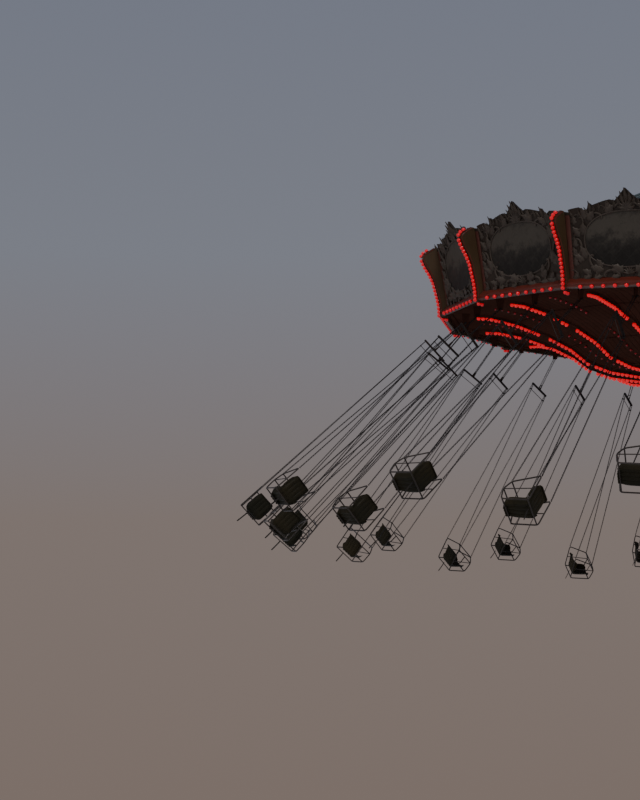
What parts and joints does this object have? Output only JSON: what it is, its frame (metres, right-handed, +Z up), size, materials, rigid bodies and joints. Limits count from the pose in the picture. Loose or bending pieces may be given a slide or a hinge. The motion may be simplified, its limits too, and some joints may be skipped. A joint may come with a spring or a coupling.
{
  "type": "chair swing ride",
  "caption": "Chair swing ride: a round ornamental crown turns on a leaning, telescopic mast, with chairs hung on chains from its rim and flown out.",
  "frame": {"origin": "on the ground at the middle of the base's underside", "axes": "+Z up along the mast, X along the pin that the crown leans on, and the crown leans towards -Y"},
  "size_m": [17.3722, 17.2955, 13.0522],
  "materials": {
    "painted_steel": "satin",
    "deck_boards": "matte",
    "cream_paint": "satin",
    "teal_roof": "satin",
    "ceiling_red": "satin",
    "rib_paint": "satin",
    "panel_paint": "satin",
    "gilt": "gloss",
    "chair_green": "satin"
  },
  "bodies": {
    "base": {"base_frame": "painted_steel", "base_plinth": "deck_boards", "centre_house": "cream_paint", "house_roof": "teal_roof", "mast_outer": "painted_steel"},
    "mast_middle": {"mast_middle": "cream_paint"},
    "mast_top": {"mast_inner": "cream_paint"},
    "lean_head": {"lean_head": "painted_steel"},
    "crown": {"crown_hub": "painted_steel", "ceiling": "ceiling_red", "sweeps": "painted_steel", "rim_and_ribs": "rib_paint", "crest_panels": "panel_paint", "roof": "teal_roof", "finial": "gilt"},
    "chair_01": {"chair_01": "chair_green"},
    "chair_02": {"chair_02": "chair_green"},
    "chair_03": {"chair_03": "chair_green"},
    "chair_04": {"chair_04": "chair_green"},
    "chair_05": {"chair_05": "chair_green"},
    "chair_06": {"chair_06": "chair_green"},
    "chair_07": {"chair_07": "chair_green"},
    "chair_08": {"chair_08": "chair_green"},
    "chair_09": {"chair_09": "chair_green"},
    "chair_10": {"chair_10": "chair_green"},
    "chair_11": {"chair_11": "chair_green"},
    "chair_12": {"chair_12": "chair_green"},
    "chair_13": {"chair_13": "chair_green"},
    "chair_14": {"chair_14": "chair_green"},
    "chair_15": {"chair_15": "chair_green"},
    "chair_16": {"chair_16": "chair_green"},
    "chair_17": {"chair_17": "chair_green"},
    "chair_18": {"chair_18": "chair_green"},
    "chair_19": {"chair_19": "chair_green"},
    "chair_20": {"chair_20": "chair_green"},
    "chair_21": {"chair_21": "chair_green"},
    "chair_22": {"chair_22": "chair_green"},
    "chair_23": {"chair_23": "chair_green"},
    "chair_24": {"chair_24": "chair_green"},
    "chair_25": {"chair_25": "chair_green"},
    "chair_26": {"chair_26": "chair_green"},
    "chair_27": {"chair_27": "chair_green"},
    "chair_28": {"chair_28": "chair_green"},
    "chair_29": {"chair_29": "chair_green"},
    "chair_30": {"chair_30": "chair_green"},
    "chair_31": {"chair_31": "chair_green"},
    "chair_32": {"chair_32": "chair_green"}
  },
  "joints": [
    {"name": "mast_lift", "type": "slide", "parent": "base", "child": "mast_middle", "axis": [0, 0, 1], "range_m": [-1.8, 0.2]},
    {"name": "mast_lift_top", "type": "slide", "parent": "mast_middle", "child": "mast_top", "axis": [0, 0, 1], "range_m": [-1.8, 0.2]},
    {"name": "crown_tilt", "type": "hinge", "parent": "mast_top", "child": "lean_head", "pos_m": [0, 0, 8.6548], "axis": [1, 0, 0], "range_deg": [-7.25, 4.75]},
    {"name": "crown_spin", "type": "hinge", "parent": "lean_head", "child": "crown", "pos_m": [0, 0, 8.6548], "axis": [0, -0.1262, 0.992], "continuous": true},
    {"name": "swing_01", "type": "hinge", "parent": "crown", "child": "chair_01", "pos_m": [-4.302, 2.15974, 9.4235], "axis": [0.4617, 0.8799, 0.1119], "range_deg": [-44.65, 15.35]},
    {"name": "swing_02", "type": "hinge", "parent": "crown", "child": "chair_02", "pos_m": [-4.65624, 1.28448, 9.31215], "axis": [0.2798, 0.9524, 0.1212], "range_deg": [-39.97, 20.03]},
    {"name": "swing_03", "type": "hinge", "parent": "crown", "child": "chair_03", "pos_m": [-4.83154, 0.35749, 9.19422], "axis": [0.0872, 0.9882, 0.1257], "range_deg": [-47.37, 12.63]},
    {"name": "swing_04", "type": "hinge", "parent": "crown", "child": "chair_04", "pos_m": [-4.82117, -0.58562, 9.07425], "axis": [-0.1089, 0.9861, 0.1254], "range_deg": [-42.79, 17.21]},
    {"name": "swing_05", "type": "hinge", "parent": "crown", "child": "chair_05", "pos_m": [-4.62553, -1.5086, 8.95683], "axis": [-0.3007, 0.9461, 0.1204], "range_deg": [-50.18, 9.82]},
    {"name": "swing_06", "type": "hinge", "parent": "crown", "child": "chair_06", "pos_m": [-4.25213, -2.37598, 8.84648], "axis": [-0.481, 0.8697, 0.1106], "range_deg": [-45.49, 14.51]},
    {"name": "swing_07", "type": "hinge", "parent": "crown", "child": "chair_07", "pos_m": [-3.71532, -3.15443, 8.74745], "axis": [-0.6428, 0.7599, 0.0967], "range_deg": [-52.66, 7.34]},
    {"name": "swing_08", "type": "hinge", "parent": "crown", "child": "chair_08", "pos_m": [-3.03573, -3.81404, 8.66354], "axis": [-0.7799, 0.6209, 0.079], "range_deg": [-47.65, 12.35]},
    {"name": "swing_09", "type": "hinge", "parent": "crown", "child": "chair_09", "pos_m": [-2.23948, -4.32944, 8.59797], "axis": [-0.887, 0.4581, 0.0583], "range_deg": [-54.43, 5.57]},
    {"name": "swing_10", "type": "hinge", "parent": "crown", "child": "chair_10", "pos_m": [-1.35717, -4.68085, 8.55327], "axis": [-0.96, 0.2776, 0.0353], "range_deg": [-48.96, 11.04]},
    {"name": "swing_11", "type": "hinge", "parent": "crown", "child": "chair_11", "pos_m": [-0.4227, -4.85475, 8.53114], "axis": [-0.9962, 0.0865, 0.011], "range_deg": [-55.22, 4.78]},
    {"name": "swing_12", "type": "hinge", "parent": "crown", "child": "chair_12", "pos_m": [0.528, -4.84446, 8.53245], "axis": [-0.9941, -0.108, -0.0137], "range_deg": [-49.21, 10.79]},
    {"name": "swing_13", "type": "hinge", "parent": "crown", "child": "chair_13", "pos_m": [1.45842, -4.65038, 8.55714], "axis": [-0.9537, -0.2983, -0.0379], "range_deg": [-54.91, 5.09]},
    {"name": "swing_14", "type": "hinge", "parent": "crown", "child": "chair_14", "pos_m": [2.3328, -4.27997, 8.60427], "axis": [-0.8767, -0.4771, -0.0607], "range_deg": [-48.36, 11.64]},
    {"name": "swing_15", "type": "hinge", "parent": "crown", "child": "chair_15", "pos_m": [3.11752, -3.74745, 8.67201], "axis": [-0.766, -0.6376, -0.0811], "range_deg": [-53.55, 6.45]},
    {"name": "swing_16", "type": "hinge", "parent": "crown", "child": "chair_16", "pos_m": [3.78244, -3.0733, 8.75777], "axis": [-0.6259, -0.7736, -0.0984], "range_deg": [-46.54, 13.46]},
    {"name": "swing_17", "type": "hinge", "parent": "crown", "child": "chair_17", "pos_m": [4.302, -2.28341, 8.85826], "axis": [-0.4617, -0.8799, -0.1119], "range_deg": [-51.35, 8.65]},
    {"name": "swing_18", "type": "hinge", "parent": "crown", "child": "chair_18", "pos_m": [4.65624, -1.40816, 8.96961], "axis": [-0.2798, -0.9524, -0.1212], "range_deg": [-44.03, 15.97]},
    {"name": "swing_19", "type": "hinge", "parent": "crown", "child": "chair_19", "pos_m": [4.83154, -0.48116, 9.08753], "axis": [-0.0872, -0.9882, -0.1257], "range_deg": [-48.63, 11.37]},
    {"name": "swing_20", "type": "hinge", "parent": "crown", "child": "chair_20", "pos_m": [4.82117, 0.46194, 9.20751], "axis": [0.1089, -0.9861, -0.1254], "range_deg": [-41.21, 18.79]},
    {"name": "swing_21", "type": "hinge", "parent": "crown", "child": "chair_21", "pos_m": [4.62553, 1.38492, 9.32493], "axis": [0.3007, -0.9461, -0.1204], "range_deg": [-45.82, 14.18]},
    {"name": "swing_22", "type": "hinge", "parent": "crown", "child": "chair_22", "pos_m": [4.25213, 2.25231, 9.43528], "axis": [0.481, -0.8697, -0.1106], "range_deg": [-38.51, 21.49]},
    {"name": "swing_23", "type": "hinge", "parent": "crown", "child": "chair_23", "pos_m": [3.71532, 3.03076, 9.53431], "axis": [0.6428, -0.7599, -0.0967], "range_deg": [-43.34, 16.66]},
    {"name": "swing_24", "type": "hinge", "parent": "crown", "child": "chair_24", "pos_m": [3.03573, 3.69036, 9.61822], "axis": [0.7799, -0.6209, -0.079], "range_deg": [-36.35, 23.65]},
    {"name": "swing_25", "type": "hinge", "parent": "crown", "child": "chair_25", "pos_m": [2.23948, 4.20577, 9.68379], "axis": [0.887, -0.4581, -0.0583], "range_deg": [-41.57, 18.43]},
    {"name": "swing_26", "type": "hinge", "parent": "crown", "child": "chair_26", "pos_m": [1.35717, 4.55718, 9.72849], "axis": [0.96, -0.2776, -0.0353], "range_deg": [-35.04, 24.96]},
    {"name": "swing_27", "type": "hinge", "parent": "crown", "child": "chair_27", "pos_m": [0.4227, 4.73108, 9.75061], "axis": [0.9962, -0.0865, -0.011], "range_deg": [-40.78, 19.22]},
    {"name": "swing_28", "type": "hinge", "parent": "crown", "child": "chair_28", "pos_m": [-0.528, 4.72079, 9.74931], "axis": [0.9941, 0.108, 0.0137], "range_deg": [-34.79, 25.21]},
    {"name": "swing_29", "type": "hinge", "parent": "crown", "child": "chair_29", "pos_m": [-1.45842, 4.52671, 9.72462], "axis": [0.9537, 0.2983, 0.0379], "range_deg": [-41.09, 18.91]},
    {"name": "swing_30", "type": "hinge", "parent": "crown", "child": "chair_30", "pos_m": [-2.3328, 4.15629, 9.67749], "axis": [0.8767, 0.4771, 0.0607], "range_deg": [-35.64, 24.36]},
    {"name": "swing_31", "type": "hinge", "parent": "crown", "child": "chair_31", "pos_m": [-3.11752, 3.62377, 9.60975], "axis": [0.766, 0.6376, 0.0811], "range_deg": [-42.45, 17.55]},
    {"name": "swing_32", "type": "hinge", "parent": "crown", "child": "chair_32", "pos_m": [-3.78244, 2.94962, 9.52398], "axis": [0.6259, 0.7736, 0.0984], "range_deg": [-37.46, 22.54]}
  ],
  "couplings": [
    {"joint": "mast_lift_top", "follows": "mast_lift", "ratio": 1}
  ]
}
